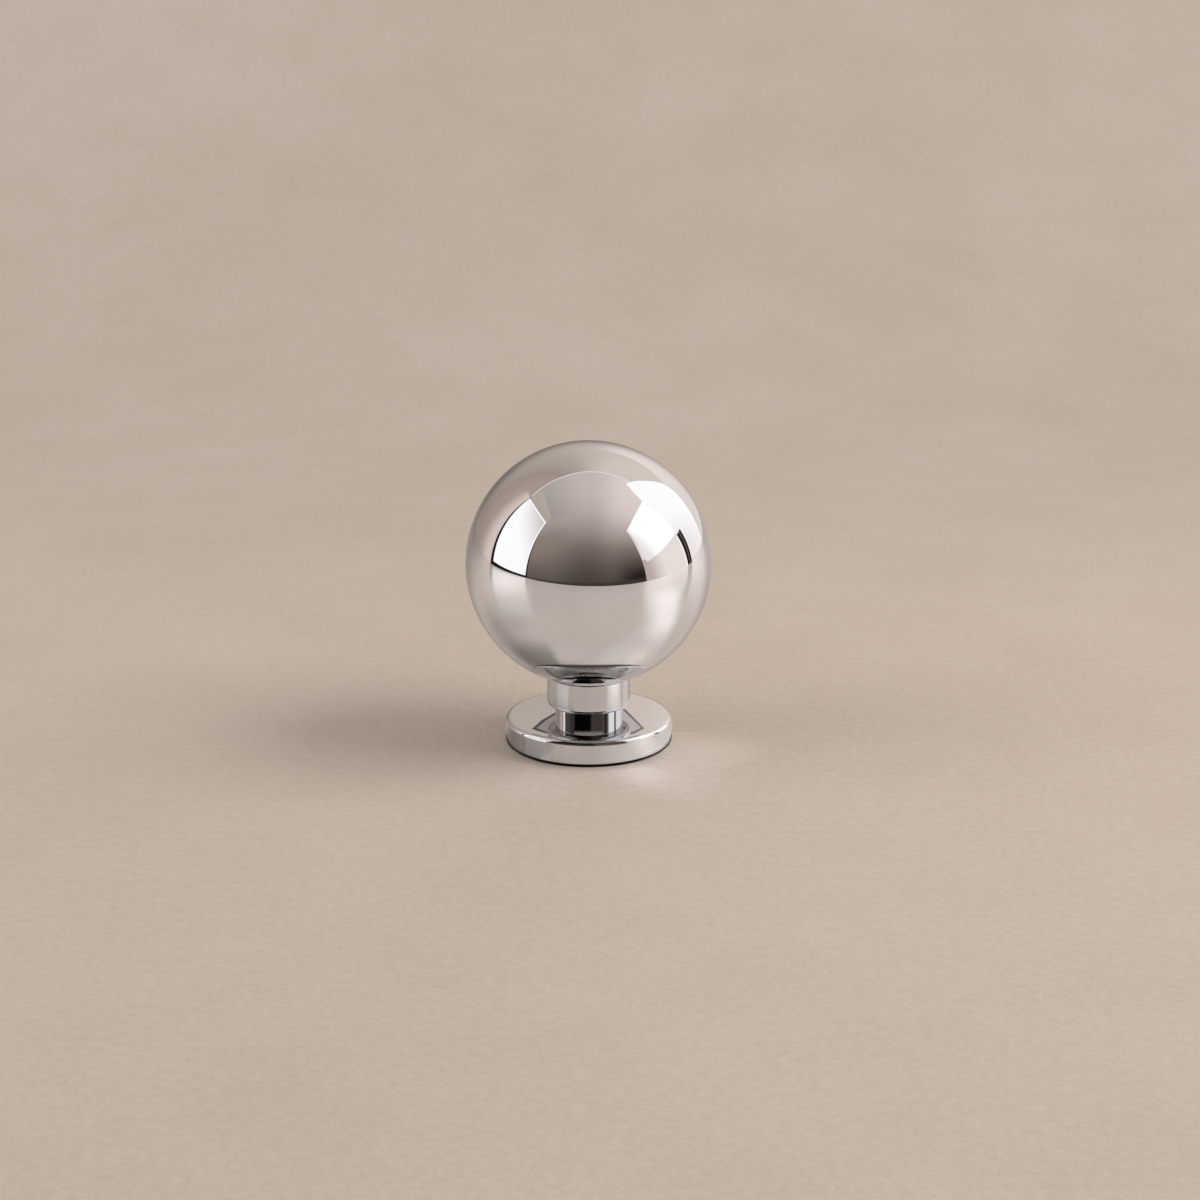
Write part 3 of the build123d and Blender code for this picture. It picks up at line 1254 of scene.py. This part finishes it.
@dataclass(frozen=True)
class SoftLamp:
    """A large lamp that lights matt surfaces.

    Its angles are in degrees, as seen from what it points at, and its power is in watts.
    """

    name: str
    azimuth: float
    elevation: float
    distance: float
    width: float
    height: float
    power: float

    def build(self, centre: Vector) -> None:
        """Hangs the lamp so that it points at the ball's centre."""
        light = bpy.data.lights.new(self.name, "AREA")
        light.shape = "RECTANGLE"
        light.size = self.width
        light.size_y = self.height
        light.energy = self.power
        hang(self.name, light, centre, direction(self.azimuth, self.elevation), self.distance)


LAMPS = (
    SoftLamp("right_key", azimuth=83, elevation=39, distance=0.9, width=0.62, height=0.5, power=5.7),
    SoftLamp("left_fill", azimuth=-82, elevation=34, distance=0.8, width=0.45, height=0.5, power=1.4),
)


@dataclass(frozen=True)
class Glint:
    """A patch of light that the ball throws on the table.

    Attributes:
        name: Its name.
        place: Where it falls.
        radius: Its radius.
        power: Power of the spot that makes it, in watts.
        colour: Its colour.
        elevation: Degrees that the spot hangs above the table.
        distance: How far away it hangs.
        spot_radius: Radius of the spot itself.
    """

    name: str
    place: Point
    radius: float
    power: float
    colour: tuple[float, float, float] = (0.62, 0.78, 1.0)
    elevation: float = 50.0
    distance: float = 120 * MM
    spot_radius: float = 2 * MM

    def build(self) -> None:
        """Hangs the spot, on the side of the place that is away from the knob."""
        light = bpy.data.lights.new(self.name, "SPOT")
        light.energy = self.power
        light.color = self.colour
        light.spot_size = 2 * atan(self.radius / self.distance)
        light.spot_blend = 1.0
        light.shadow_soft_size = self.spot_radius
        azimuth = degrees(atan2(self.place[0], -self.place[1]))
        hang(self.name, light, Vector((*self.place, 0.0)), direction(azimuth, self.elevation), self.distance)


GLINTS = (
    Glint("right_glint", (6.6 * MM, -12 * MM), 4 * MM, 0.3),
    Glint("right_glow", (8.5 * MM, -12.5 * MM), 9 * MM, 0.12),
    Glint("side_glow", (13 * MM, -4 * MM), 8 * MM, 0.14, (0.9, 0.95, 1.0)),
    Glint("left_glint", (-5.5 * MM, -16 * MM), 6 * MM, 0.07),
)


@dataclass(frozen=True)
class PhotoCamera:
    """The camera at the photograph's viewing angle.

    Places and lengths in the picture are in pixels, angles in degrees, the sensor in millimetres.
    """

    frame: float = 1200.0
    focal: float = 2400.0
    elevation: float = 15.4
    ball_radius: float = 123.2
    ball_row: float = 563.25
    axis_column: float = 588.6
    sensor: float = 36.0
    clip: Range = (0.01, 50.0)

    def place(self, centre: Vector, radius: float) -> Vector:
        """Works out where the camera stands, from the ball's centre and radius."""
        distance = radius / sin(atan(self.ball_radius / self.focal))
        across = (self.frame / 2 - self.axis_column) / self.focal * distance
        return centre + direction(0, self.elevation) * distance + Vector((across, 0, 0))

    def build(self, eye: Vector) -> None:
        """Sets the camera up in its place."""
        pitch = radians(self.elevation) + atan((self.frame / 2 - self.ball_row) / self.focal)
        data = bpy.data.cameras.new("camera")
        data.sensor_width = self.sensor
        data.lens = self.focal * self.sensor / self.frame
        data.clip_start, data.clip_end = self.clip
        camera = add_object("camera", data)
        camera.location = eye
        camera.rotation_euler = (pi / 2 - pitch, 0.0, 0.0)
        bpy.context.scene.camera = camera


def main() -> None:
    """Builds the knob, then the studio round it."""
    logging.basicConfig(level=logging.INFO, format="%(name)s: %(message)s")
    form = TurnedForm("turned_form")
    plating = MirrorPlating()
    Ball(plating.material("ball_mirror")).build(form)
    Base(plating.material("base_mirror")).build(form)

    low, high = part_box("ball")
    radius = (high[0] - low[0]) / 2
    centre = Vector((0.0, 0.0, high[2] - radius))
    camera = PhotoCamera()
    eye = camera.place(centre, radius)
    Table().build()
    Room().build()
    for panel in PANELS:
        panel.build(centre)
    for sheet in sheets(BallMirror(centre, radius, eye)):
        sheet.build()
    for lamp in LAMPS:
        lamp.build(centre)
    for glint in GLINTS:
        glint.build()
    camera.build(eye)
    bpy.context.scene.view_settings.view_transform = "Standard"


if __name__ == "__main__":
    main()
